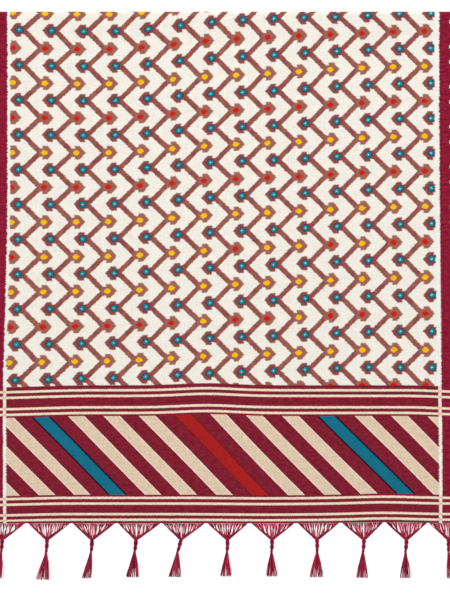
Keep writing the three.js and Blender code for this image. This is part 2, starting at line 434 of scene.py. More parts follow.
class Dye(Enum):
    """The yarns' colours."""

    GROUND = srgb(242, 236, 225)
    MARGIN = srgb(243, 239, 231)
    BORDER = srgb(123, 13, 38)
    BORDER_PALE = srgb(151, 30, 59)
    BAND = srgb(119, 20, 39)
    BAND_PALE = srgb(134, 34, 51)
    LINE = srgb(243, 223, 199)
    CORD = srgb(243, 230, 217)
    CROSSING = srgb(226, 190, 166)
    BEIGE = srgb(224, 200, 176)
    BEIGE_EDGE = srgb(250, 221, 202)
    KITE = srgb(160, 97, 84)
    LEFT_KITE = srgb(140, 71, 69)
    TEAL = srgb(22, 132, 150)
    TEAL_RIM = srgb(22, 52, 70)
    TEAL_HEART = srgb(205, 238, 238)
    TEAL_STRIPE = srgb(17, 110, 135)
    NAVY = srgb(16, 14, 32)
    RED = srgb(200, 32, 20)
    RED_STRIPE = srgb(170, 29, 30)
    YELLOW = srgb(244, 190, 14)
    # The yarn's own dark crimson, mixed towards the pale pink below, which is painted light: light
    # passing through thin, loose threads and highlights on the locks. Where threads bunch, and in
    # the neck, the colour stays near the crimson and so also paints their shade.
    YARN = srgb(120, 6, 36)
    YARN_PAINTED_LIT = srgb(222, 66, 106)


@dataclass(frozen=True)
class Motif:
    """One repeat of the tied and dyed zigzag, in units of 2 mm from a teal spot's centre."""

    pitch: float = 31.8  # from one column to the next
    row: float = 35.0  # from one row to the next
    stroke: float = 3.65  # half the stroke's width, measured across the cloth
    stroke_middle: float = 3.78
    left_tip: float = 9.45  # how far a teal spot's kite points, from the spot's centre
    right_tip: float = 9.15  # the same for the other kites
    slant: float = 0.87  # slope of the kite's pointed sides
    squared: float = 0.75  # turns a measure across that slope into a distance from it
    flat: float = 6.9  # half the kite's height
    shoulder: float = 1.7  # where its flat sides end
    core: float = 4.3  # half the height of what joins kite and zigzag
    core_back: float = 2.0  # how far behind the spot's centre its middle is
    core_reach: float = 4.0  # half its length
    right_spot: float = 25.0  # from the teal spot to the red or yellow one
    sag: float = 0.4  # how far below half-way to the next row it is
    teal_spot: tuple[float, float] = (4.2, 3.8)  # half its width and height
    teal_shift: float = 0.2  # how far left of the repeat's centre its middle is
    heart: tuple[float, float] = (1.15, 1.0)
    heart_shift: float = 0.4
    warm_spot: tuple[float, float] = (3.4, 2.75)
    strays: tuple[tuple[int, int, int], ...] = (  # row, first and last column of yellow
        (6, 0, 5), (6, 7, 8), (6, 10, 10), (8, 5, 5), (8, 8, 8))  # spots where red is due
    left_start: float = -0.31  # where a repeat is cut for each kind of shape, in repeats
    stroke_start: float = -0.1
    soft: float = 1.0
    ragged: float = 3.4  # how far the dye strays along the weft
    wobble: float = 1.6  # and along the warp
    blotches: float = 5.0  # blotches of dye in a repeat


@dataclass(frozen=True)
class EndBand:
    """The striped band above the fringe, in mm above the hem."""

    top: float = 276.6
    panel_low: float = 57.5
    panel_high: float = 215.0
    line: float = 2.3  # half the width of a cream line
    lines: tuple[float, ...] = (266.5, 255.2, 232.4, 221.1, 51.2, 39.8, 18.6, 7.3)
    stripe_pitch: float = 71.7
    stripe_width: float = 33.0
    stripe_start: float = -448.6  # left edge of the first stripe at the panel's top
    stripe_slope: float = 1.014
    lead: float = 6.0  # ground before a stripe that is counted as its own
    outline: float = 4.2  # width of the dark line along a teal stripe
    pale: float = 2.6  # width of the lighter edge of a beige one
    shadow: float = 0.28  # how much darker the ground is right beside a stripe
    shadow_reach: float = 2.6
    cycle: float = 8.0  # the first of every 8 stripes from the second on is teal
    red_after: float = 4.0  # and the fourth after it is red


@dataclass(frozen=True)
class Selvedge:
    """The plain side borders, in mm from the nearer edge of the cloth."""

    width: float = 50.0
    left_margin: float = 5.0  # plain ground between the border and the zigzags
    right_margin: float = 9.0
    stray: float = 8.0  # how raggedly the border ends beside the zigzags
    band_stray: float = 2.5  # and beside the end band
    cord: float = 6.4  # the cream warp line beside the end band
    feather: float = 7.0  # how much more it strays beside the stripes
    flecks: tuple[float, float] = (43.0, 73.0)  # places of the white ones in each repeat
    fleck_repeat: float = 80.0
    fleck_in: float = 26.2
    fleck_high: float = 3.2  # half their height and width
    fleck_wide: float = 3.4


@dataclass(frozen=True)
class Place:
    """Where in the weave a point is, in mm, as values of one material."""

    left: Value  # from the left selvedge
    along: Value  # from the hem
    column: Value  # columns of zigzags from the first, across the cloth
    row: Value  # rows from the fold
    across: Value  # from the middle, for the diagonal stripes
    nearer: Value  # from the nearer selvedge
    edge: Value  # the same, ragged
    weft_wise: Value  # noise that runs along the weft
    warp_wise: Value  # noise that runs along the warp


@dataclass(frozen=True)
class IkatCotton:
    """Plain-woven cotton with the whole pattern of the cloth in its yarns."""

    motif: Motif = Motif()
    band: EndBand = EndBand()
    side: Selvedge = Selvedge()
    thread: float = 1.1  # distance between threads
    relief: float = 0.00016
    long: float = 0.05  # blotches of noise a mm, along a thread
    fine: float = 0.42  # and across the threads, where their dye ends
    slub: float = 0.34  # and where they are thick or thin

    def material(self, name: str) -> bpy.types.Material:
        """Makes the material; the mesh carries weave and ikat, as Lie.weave gives them.

        Args:
            name: Its name.

        Returns:
            The material.
        """
        n, s = Nodes(name), self.side
        left, along, right = n.carried("weave")
        column, row, across = n.carried("ikat")
        nearer = left.at_most(right)
        weft_wise = n.noise(left * self.long, along * self.fine, 3.0)
        warp_wise = n.noise(left * self.fine, along * self.long, 8.0)
        speckle = n.noise(nearer * 0.09, along * 0.2, 13.0, detail=4.0)
        paler = (speckle * 3.2).math("ADD", 0.5, clamp=True)
        beside_band = (along - self.band.top).inside(4.0)
        edge = nearer + weft_wise * (s.stray - (s.stray - s.band_stray) * beside_band)
        at = Place(left, along, column, row, across, nearer, edge, weft_wise, warp_wise)
        outside = (left - s.left_margin).at_most(right - s.right_margin)
        margin = (outside + weft_wise * s.stray - s.width).inside(1.6)
        colour = n.laid(self.zigzags(n, at), (margin, Dye.MARGIN))
        maroon = n.laid(Dye.BAND, (paler, Dye.BAND_PALE))
        crimson = n.laid(Dye.BORDER, (paler, Dye.BORDER_PALE))
        colour = self.border(n, at, self.end_band(n, at, colour, maroon), crimson)
        return self.woven(n, at, colour)

    def zigzags(self, n: Nodes, at: Place) -> bpy.types.NodeSocket:
        """The zigzag strokes with a kite at each turn and a spot in each kite.

        Distances are taken from a repeat's centre: a stroke is where the distance across
        less the distance along stays within its width, a kite is a slanted box cut off at
        its flat sides, and a spot is |x|^1.5 + |y|^1.5 < 1.

        Args:
            n: The material's nodes.
            at: The place in the weave.

        Returns:
            The colour.
        """
        m = self.motif
        sag = (at.row * (2.0 * math.pi)).math("COSINE") - 1.0
        row = at.row + sag * (0.5 * m.sag / m.row)
        x_kite, x_stroke, x_right = (
            at.column.cell(centre, low) * m.pitch + at.weft_wise * m.ragged
            for centre, low in ((0.0, m.left_start), (0.0, m.stroke_start),
                                (m.right_spot / m.pitch, -0.5)))
        y_left = abs(row.cell(0.0, -0.5) * m.row + at.warp_wise * m.wobble)
        y_right = m.row / 2 - y_left
        stroke = abs(x_stroke - y_left - m.stroke_middle) - m.stroke
        kites = []
        for x, y, point, tip in ((x_kite, y_left, -1.0, m.left_tip),
                                 (x_right, y_right, 1.0, m.right_tip)):
            pointed = (x * point - tip + y * m.slant) * m.squared
            kite = pointed.at_least(y - m.flat).at_least(x * -point - m.shoulder)
            core = (y - m.core).at_least(abs(x * point + m.core_back) - m.core_reach)
            kites.append(kite.at_most(core).inside(m.soft))
        blotch = n.noise(at.column * m.blotches, row * m.blotches, 5.0)
        stained = (blotch * 3.0).math("ADD", 0.45, clamp=True)
        bright = (blotch * 2.4 + at.column * 0.03).math("ADD", 0.5, clamp=True)
        teal = self.spot(x_kite + m.teal_shift, y_left, m.teal_spot)
        heart = self.spot(x_kite + m.heart_shift, y_left, m.heart)
        warm = self.spot(x_right, y_right, m.warm_spot)
        spot_row = (row - 0.5).math("ROUND")
        spot_column = (at.column - m.right_spot / m.pitch).math("ROUND")
        yellow = spot_row.math("PINGPONG", 1.0)
        for stray_row, first, last in m.strays:
            here = spot_column.between(first - 0.5, last + 0.5, 0.1)
            yellow = yellow.at_least(here * spot_row.math("COMPARE", float(stray_row), 0.1))
        return n.laid(
            Dye.GROUND,
            (stroke.inside(m.soft), n.laid(Dye.LEFT_KITE, (stained, Dye.KITE))),
            (kites[0], Dye.LEFT_KITE),
            (kites[1], Dye.KITE),
            ((teal - 1.0).inside(0.22), Dye.TEAL_RIM),
            ((teal - 0.66).inside(0.3), Dye.TEAL),
            ((heart - 0.7).inside(0.9) * bright, Dye.TEAL_HEART),
            ((warm - 1.0).inside(0.3), n.laid(Dye.RED, (yellow, Dye.YELLOW))))

    @staticmethod
    def spot(x: Value, y: Value, half: tuple[float, float]) -> Value:
        """A rounded diamond, half as wide and as high as given: below 1 inside it."""
        across, along = (abs(each) * (1.0 / size) for each, size in zip((x, y), half))
        return across.math("POWER", 1.5) + along.math("POWER", 1.5)

    def end_band(self, n: Nodes, at: Place, colour: bpy.types.NodeSocket,
                 maroon: bpy.types.NodeSocket) -> bpy.types.NodeSocket:
        """The band above the fringe: maroon, cream weft lines, a panel of diagonal stripes
        and a cream warp line at each side.

        Args:
            n: The material's nodes.
            at: The place in the weave.
            colour: What is outside the band.
            maroon: The band's own ground.

        Returns:
            The colour.
        """
        b, s = self.band, self.side
        level = at.along + at.warp_wise * 2.0
        in_band = (level - b.top).inside(1.6)
        slid = (at.across - (b.panel_high - at.along) * (1.0 / b.stripe_slope)
                - (b.stripe_start - b.lead)) * (1.0 / b.stripe_pitch)
        place = slid.math("FRACT") * b.stripe_pitch - b.lead + at.weft_wise * 2.4
        turn = (slid.math("FLOOR") - 1.0).math("FLOORED_MODULO", b.cycle)
        is_teal, is_red = (turn.math("COMPARE", which, 0.4) for which in (0.0, b.red_after))
        plain = place.between(b.pale, b.stripe_width - b.pale, 1.4)
        dyed = n.laid(Dye.BEIGE_EDGE, (plain, Dye.BEIGE), (is_teal, Dye.TEAL_STRIPE),
                      (is_red, Dye.RED_STRIPE))
        reach = b.shadow_reach
        shadow = place.between(-reach, b.stripe_width + reach, 2.0) * b.shadow
        from_side = abs(abs(place - b.stripe_width / 2) - b.stripe_width / 2 - 0.2 * b.outline)
        outline = (from_side - b.outline / 2).inside(1.0) * is_teal
        panel = n.laid(n.lit(maroon, 1.0 - shadow),
                       (place.between(0.0, b.stripe_width, 1.6), dyed), (outline, Dye.NAVY))
        in_panel = at.along.between(b.panel_low, b.panel_high, 1.2)
        feathered = at.edge + at.weft_wise * in_panel * s.feather
        corded = feathered.between(s.width, s.width + s.cord, 2.2)
        crossing = at.edge.between(s.width, s.width + s.cord, 1.2)
        lines = self.weft_lines(level) * (at.edge - s.width).math("GREATER_THAN", 0.0)
        return n.laid(colour, (in_band, maroon), (in_panel, panel),
                      (corded * in_band, n.laid(Dye.CORD, (in_panel, Dye.MARGIN))),
                      (lines, n.laid(Dye.LINE, (crossing, Dye.CROSSING))))

    def weft_lines(self, level: Value) -> Value:
        """The cream lines.

        Args:
            level: The distance from the hem.

        Returns:
            1 on a line.
        """
        masks = [abs(level - line) - self.band.line for line in self.band.lines]
        nearest = masks[0]
        for mask in masks[1:]:
            nearest = nearest.at_most(mask)
        return nearest.inside(1.5)

    def border(self, n: Nodes, at: Place, colour: bpy.types.NodeSocket,
               crimson: bpy.types.NodeSocket) -> bpy.types.NodeSocket:
        """The plain borders, which the cream weft lines cross, with their white flecks.

        Args:
            n: The material's nodes.
            at: The place in the weave.
            colour: What is between the borders.
            crimson: Their own ground.

        Returns:
            The colour.
        """
        s = self.side
        step = (at.along * (1.0 / s.fleck_repeat)).math("FRACT") * s.fleck_repeat
        first, second = (abs(step - place) - s.fleck_high for place in s.flecks)
        fleck = first.at_most(second).at_least(abs(at.nearer - s.fleck_in) - s.fleck_wide)
        fleck = fleck.inside(1.2) * (at.along - self.band.top).math("GREATER_THAN", 8.0)
        crimson = n.laid(crimson, (self.weft_lines(at.along), Dye.LINE), (fleck, Dye.MARGIN))
        return n.laid(colour, ((at.edge - s.width).inside(1.4), crimson))

    def woven(self, n: Nodes, at: Place, colour: bpy.types.NodeSocket) -> bpy.types.Material:
        """Lays the weave over the colour: slubs, soft blotches, in part painted shade of the
        cloth's soft unevenness, and a relief of threads, sin across times sin along.

        Args:
            n: The material's nodes.
            at: The place in the weave.
            colour: The pattern.

        Returns:
            The material.
        """
        left, along = at.left, at.along
        turn = math.pi / self.thread * 2
        over = (left * turn).math("SINE") * (along * turn).math("SINE")
        weft = n.noise(left * self.long, along * self.slub, 21.0)
        warp = n.noise(left * self.slub, along * self.long, 34.0)
        grain = n.noise(left * 0.23, along * 0.23, 44.0, detail=3.0)
        # Slow blotches: partly the weave's own density and partly painted shade of the laid
        # cloth's soft unevenness.
        density_and_painted_shade = n.noise(left * self.long, along * self.long, 55.0)
        heavy = (along - self.band.top).inside(4.0) * 0.9 + 1.0
        uneven = (weft + warp) * 0.16 + grain * 0.24
        level = uneven * heavy + density_and_painted_shade * 0.12 + over * 0.03 + 1.0
        height = over * 0.35 + weft * 0.4 + warp * 0.4 + 0.5
        return n.finish(n.lit(colour, level), height, self.relief, 0.9, 0.03)


@dataclass(frozen=True)
class LooseYarn:
    """Loosely twisted warp yarn."""

    relief: float = 0.0001

    def material(self, name: str) -> bpy.types.Material:
        """Makes the material; the mesh carries yarn: tone with painted light and shade, run and
        angle.

        Args:
            name: Its name.

        Returns:
            The material.
        """
        n = Nodes(name)
        tone_and_painted_light, run, angle = n.carried("yarn")
        spun = (run * 150.0 + angle * 2.0).math("SINE")
        fuzz = n.noise(run * 30.0, angle, tone_and_painted_light * 40.0)
        level = fuzz * 0.35 + spun * 0.06 + 1.0
        # The mix towards the pale pink is the yarn's random tone plus painted light and shade:
        # paler paints light through loose threads and highlights, darker paints the shade of dense
        # bunches.
        colour = n.lit(n.laid(Dye.YARN, (tone_and_painted_light, Dye.YARN_PAINTED_LIT)), level)
        return n.finish(colour, spun * 0.3 + fuzz * 0.5 + 0.5, self.relief, 0.85, 0.0)


# ---- the cloth


@dataclass
class Lie:
    """How the folded cloth lies, in mm, as in the part's source, and how it is woven.

    In the methods, x is a place across and y a place along the cloth.
    """

    fold_y: float = 568.8
    hem_y: float = -455.0
    half_width: float = 490.0
    wall: float = 2.0
    roll: float = 10.0  # half the length of the fold's roll
    height: float = 7.0  # its outer height
    rise: float = 55.0  # how far back from the roll the cloth begins to rise
    lip: float = 10.0  # how far the roll runs on underneath
    under: float = 2.0  # thickness of the hidden half
    under_end: float = -430.0
    tucked: float = 100.0  # its tucked fringe, thinner than the weave
    tip: float = 0.9  # thickness at its very end
    seam: float = 0.3
    ripple_height: float = 0.4
    columns: float = 13.0  # of zigzags across the field
    field_left: float = 405.8  # from the middle to the first column
    field_span: float = 822.3
    top_row: float = 532.9  # y of the first row
    row_pitch: float = 69.86
    pulls: tuple[tuple[float, ...], ...] = (
        # centre x and y, reach in x and y, shift of the pattern in x and y
        (60.0, 402.0, 140.0, 80.0, 0.0, -3.4),
        (146.0, 272.0, 90.0, 80.0, 0.0, -2.0),
        (26.0, 552.0, 100.0, 30.0, 0.0, 1.8),
        (256.0, 552.0, 60.0, 30.0, 0.0, -2.6),
        (136.0, -98.0, 100.0, 60.0, 0.0, -1.6),
        (-64.0, 532.0, 120.0, 80.0, 2.4, 0.0),
        (196.0, 572.0, 70.0, 36.0, -4.6, 0.0),
        (-344.0, 72.0, 120.0, 120.0, 1.2, 0.0),
        (-400.0, -165.0, 70.0, 50.0, -2.8, -2.4),
    )

    @property
    def roll_y(self) -> float:
        """Where the roll starts."""
        return self.fold_y - self.roll

    def left(self, y: np.ndarray) -> np.ndarray:
        """x of the left selvedge, drawn in beside the zigzags."""
        return -self.half_width + 11.0 * ramp(y, -230.0, 200.0)

    def right(self, y: np.ndarray) -> np.ndarray:
        """x of the right selvedge."""
        return self.half_width - 6.0 * ramp(y, -420.0, 480.0)

    @staticmethod
    def hem_lift(x: np.ndarray) -> np.ndarray:
        """How far the hem bows up from its straight line, right of the middle."""
        return 2.2 * hump(x, 325.0, 90.0)

    def ripple(self, x: np.ndarray, y: np.ndarray) -> np.ndarray:
        """The solids' soft unevenness: two slow sine waves that fade out at both ends.

        Args:
            x: Place across.
            y: Place along.

        Returns:
            The height that it adds.
        """
        inside = ramp(y, self.hem_y + 40.0, self.hem_y + 160.0) * ramp(y, 520.0, 420.0)
        wave = np.sin(x / 83.0 + y / 210.0) + 0.7 * np.sin(y / 117.0 - x / 260.0 + 1.3)
        return self.ripple_height * inside * (1.0 + 0.6 * wave)

    def under_top(self, x: np.ndarray, y: np.ndarray) -> np.ndarray:
        """Height of the top of the hidden half."""
        woven = ramp(y, self.under_end, self.under_end + self.tucked)
        return self.tip + (self.under - self.tip) * woven + self.ripple(x, y)

    def front_underside(self, x: np.ndarray, y: np.ndarray) -> np.ndarray:
        """Height of the underside of the half that shows.

        Args:
            x: Place across.
            y: Place along.

        Returns:
            The height.
        """
        landed = ramp(y, self.hem_y + 8.0, self.under_end - 3.0)
        lift = self.height - self.wall - self.under - self.seam
        roll = lift * ramp(y, self.roll_y - self.rise, self.roll_y)
        return landed * (self.under_top(x, y) + self.seam) + roll

    def pulled(self, x: np.ndarray, path_y: np.ndarray) -> tuple[np.ndarray, np.ndarray]:
        """The places whose pattern shows at x and path_y, where the cloth was pulled awry.

        Each pull shifts the pattern by a bell over both coordinates.

        Args:
            x: Place across.
            path_y: Place along, measured round the fold.

        Returns:
            The places across and along.
        """
        from_x, from_y = x - 1.2, path_y + 0.6
        for at_x, at_y, wide, long, shift_x, shift_y in self.pulls:
            bell = hump(x, at_x, wide) * hump(path_y, at_y, long)
            from_x = from_x - shift_x * bell
            from_y = from_y - shift_y * bell
        return from_x, from_y

    def weave(self, x: np.ndarray, y: np.ndarray, path_y: np.ndarray) -> dict[str, np.ndarray]:
        """Where each point is in the weave.

        The pattern's rows climb to the right by a soft S that flattens towards the hem, and
        its columns bulge a little near the fold. Both are turned round by repeated
        substitution. The end band's lines bow up a little left of the middle, and both
        side borders change their width a little towards the fold.

        Args:
            x: Place across.
            y: Place along, as it lies.
            path_y: Place along, measured round the fold.

        Returns:
            The attributes weave (mm from the left selvedge, from the hem, from the right
            selvedge) and ikat (column, row, place of the diagonal stripes).
        """
        field_x, field_y = self.pulled(x, path_y)
        share = (field_x + self.field_left) / self.field_span
        row = (self.top_row - field_y) / self.row_pitch
        for _ in range(8):
            low = ramp(row, -1.0, 11.0)
            inner = np.clip(share, 0.0, 1.0)
            bulge = 3.7 * np.sin(np.pi * inner ** 0.82) * (1.0 - ramp(row, -1.0, 26.0))
            share = field_x + self.field_left + 5.8 * low - bulge
            share = share / (self.field_span + 9.0 * low)
            bent = 0.38 * ramp(share, 0.18, 0.53) + 0.62 * ramp(share, 0.29, 1.02)
            even = 0.34 * ramp(row, -2.0, 10.0)
            climb = (33.2 - 5.7 * ramp(row, 4.0, 11.0)) * ((1.0 - even) * bent + even * share)
            dip = 4.0 * np.sin(np.pi * np.clip(share / 0.4, 0.0, 1.0))
            climb = climb - dip * (1.0 - ramp(row, -1.0, 7.0))
            climb = climb - 4.6 * ramp(share, 0.78, 1.02) * ramp(row, 7.0, 10.5)
            row = (self.top_row + climb - field_y) / self.row_pitch
        above = path_y - self.hem_y
        top = (4.6 * ramp(-x, 260.0, 480.0) - 4.2 * hump(x, -30.0, 75.0)
               + 3.4 * ramp(x, 370.0, 490.0))
        base = (3.0 * ramp(-x, 300.0, 480.0) + 1.1 * hump(x, 90.0, 110.0)
                - 2.6 * hump(x, 325.0, 75.0))
        bow = base + (top - base) * ramp(above, 20.0, 260.0)
        bow *= ramp(above, -1.0, 6.0) * (1.0 - ramp(above, 300.0, 420.0))
        left = x - self.left(y) - 1.8 * (1.0 - ramp(above, 380.0, 560.0))
        right = self.right(y) - x + 0.9 * (1.0 - ramp(above, 150.0, 250.0))
        weave = np.stack([left, above + bow, right], axis=-1)
        slide = x + 5.0 * np.cos(np.pi * x / 880.0)
        ikat = np.stack([share * self.columns, row, slide], axis=-1)
        return {"weave": weave, "ikat": ikat}


def edged(length: float, step: float, rim: float) -> np.ndarray:
    """Places from 0 to a length, close together within a rim at both ends.

    Args:
        length: The length.
        step: Distance between places inside.
        rim: Width of the rounded rim.

    Returns:
        The places.
    """
    close = rim * np.array([0.0, 0.12, 0.4, 1.0])
    inside = np.linspace(rim, length - rim, max(2, round(length / step)))[1:-1]
    return np.concatenate([close, inside, length - close[::-1]])


def rounding(place: np.ndarray, length: float, rim: float) -> np.ndarray:
    """How thick a rounded rim is, as a share: the height of a quarter circle.

    Args:
        place: Distance from one end.
        length: The whole length.
        rim: Width of the rim.

    Returns:
        0 at both ends, 1 inside.
    """
    inwards = np.clip(np.minimum(place, length - place) / rim, 0.0, 1.0)
    return np.sqrt(1.0 - (1.0 - inwards) ** 2)


@dataclass
class FoldedCloth:
    """The one length of cloth, as the half that shows and the half it hides."""

    lie: Lie = field(default_factory=Lie)
    finish: IkatCotton = field(default_factory=IkatCotton)
    step: float = 6.0  # distance between points on the flat cloth
    lip_step: float = 3.0  # and on the lip
    roll_steps: int = 19  # points round the roll
    rim: float = 1.0
    inset: float = 3.0  # how far inside the upper selvedges the hidden ones are
    wander: float = 1.2  # how far they stray from that

    def creases(self, x: np.ndarray, y: np.ndarray) -> np.ndarray:
        """Height of the soft creases of the laid cloth, over the solid's own ripple.

        Each is a shallow trough or ridge that wanders: a bell across a line that bends by a
        slow sine, and that fades out along its length.

        Args:
            x: Place across.
            y: Place along.

        Returns:
            The height.
        """
        ridges = (
            # start x, lean, bend, width, height, middle y, reach
            (-300.0, 0.10, 14.0, 26.0, 0.35, 260.0, 210.0),
            (-120.0, -0.06, 18.0, 34.0, -0.30, 80.0, 240.0),
            (70.0, 0.12, 12.0, 28.0, 0.32, 330.0, 190.0),
            (210.0, -0.10, 16.0, 30.0, -0.28, -60.0, 210.0),
            (330.0, 0.05, 15.0, 24.0, 0.30, 180.0, 260.0),
            (-410.0, 0.04, 10.0, 22.0, -0.25, -120.0, 200.0),
        )
        height = np.zeros_like(x)
        for start, lean, bend, width, crest, middle, reach in ridges:
            line = start + lean * y + bend * np.sin(y / 95.0 + start)
            height += crest * hump(x, line, width) * hump(y, middle, reach)
        calm = ramp(y, self.lie.hem_y + 20.0, self.lie.hem_y + 120.0)
        return height * calm * (1.0 - ramp(y, 470.0, 510.0))

    def front(self) -> bpy.types.Object:
        """The half that shows, with the roll of the fold and the lip under it.

        Flat part: the solid's underside and top as heights over x and y. Roll: outer and
        inner half ellipses. Lip: flat on the surface. All but the hem's own step follows the
        hem's straight line; that step takes up its bow.

        Returns:
            The piece.
        """
        lie = self.lie
        flat_y = lie.hem_y + edged(lie.roll_y - lie.hem_y, self.step, self.rim)[:-3]
        lip_y = lie.roll_y - lie.lip + edged(lie.lip, self.lip_step, self.rim)[::-1][3:]
        angles = np.linspace(np.pi / 2, -np.pi / 2, self.roll_steps)
        turned = np.stack([np.cos(angles), np.sin(angles)], axis=1)
        half = np.array([lie.roll, lie.height / 2])
        run = np.hypot(*np.diff(turned * half, axis=0).T)
        on_roll = lie.roll_y + np.concatenate([[0.0], np.cumsum(run)])
        path_y = np.concatenate([flat_y, on_roll, on_roll[-1] + lie.roll_y - lip_y])
        width = 2.0 * lie.half_width
        share = edged(width, self.step, self.rim) / width
        edge_y = np.minimum(path_y, lie.fold_y)[:, None]
        x = lie.left(edge_y) + (lie.right(edge_y) - lie.left(edge_y)) * share[None, :]
        bowed = lie.hem_lift(x) * (1.0 - ramp(path_y[:, None] - lie.hem_y, 0.0, self.step))
        edge_y = edge_y + bowed
        low = lie.front_underside(x, edge_y) + self.creases(x, edge_y)
        first, last = len(flat_y), len(flat_y) + len(angles)
        faces = []
        for above, on_lip in ((lie.wall, 0.0), (0.0, lie.wall)):
            roll = turned * (half - (lie.wall - above))
            y = np.concatenate([flat_y, lie.roll_y + roll[:, 0], lip_y])[:, None] + bowed
            z = low + above
            z[first:last] = half[1] + roll[:, 1][:, None]
            z[last:] = on_lip
            faces.append(np.stack([x, y, z], axis=-1))
        outer, inner = faces
        thick = (rounding(path_y - path_y[0], path_y[-1] - path_y[0], self.rim)[:, None]
                 * rounding(share * width, width, self.rim)[None, :])[..., None]
        middle = (outer + inner) / 2
        carried = lie.weave(x, edge_y, path_y[:, None] + bowed)
        return closed_sheet("cloth_half_front", middle + (outer - middle) * thick,
                            middle + (inner - middle) * thick, carried)

    def under(self) -> bpy.types.Object:
        """The hidden half: one rounded slab, flat underneath, with its fringe tucked in.

        Returns:
            The piece.
        """
        lie = self.lie
        length = lie.roll_y - lie.lip - lie.seam - lie.under_end
        y = (lie.under_end + edged(length, 2 * self.step, self.rim))[:, None]
        width = 2.0 * lie.half_width
        share = edged(width, 2 * self.step, self.rim) / width
        left = lie.left(y) + self.inset + self.wander * np.sin(y / 60.0)
        right = lie.right(y) - self.inset + self.wander * np.sin(y / 75.0 + 1.0)
        x = left + (right - left) * share[None, :]
        full_y = y + 0.0 * x
        top = lie.under_top(x, y)
        thick = (rounding(y - lie.under_end, length, self.rim)
                 * rounding(share * width, width, self.rim)[None, :])
        upper, lower = (np.stack([x, full_y, top / 2 * (1.0 + side * thick)], axis=-1)
                        for side in (1.0, -1.0))
        woven_end = lie.under_end + lie.tucked
        carried = lie.weave(x, full_y, lie.hem_y + full_y - woven_end)
        return closed_sheet("cloth_half_under", upper, lower, carried)

    def build(self) -> tuple[bpy.types.Object, bpy.types.Object]:
        """Builds and dresses both halves, hides the solids that they replace and logs their faces.

        Returns:
            The half that shows and the hidden one.
        """
        front, under = self.front(), self.under()
        for piece, node, slot, finish in (
                (front, "cloth_front", "ikat_cloth", "ikat_cotton"),
                (under, "cloth_under", "under_cloth", "ikat_cotton_under")):
            piece.data.materials.append(self.finish.material(finish))
            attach(piece, "root")
            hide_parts(node)
            LOG.info("%s: %d faces", piece.name, len(piece.data.polygons))
        return front, under


# ---- the fringe


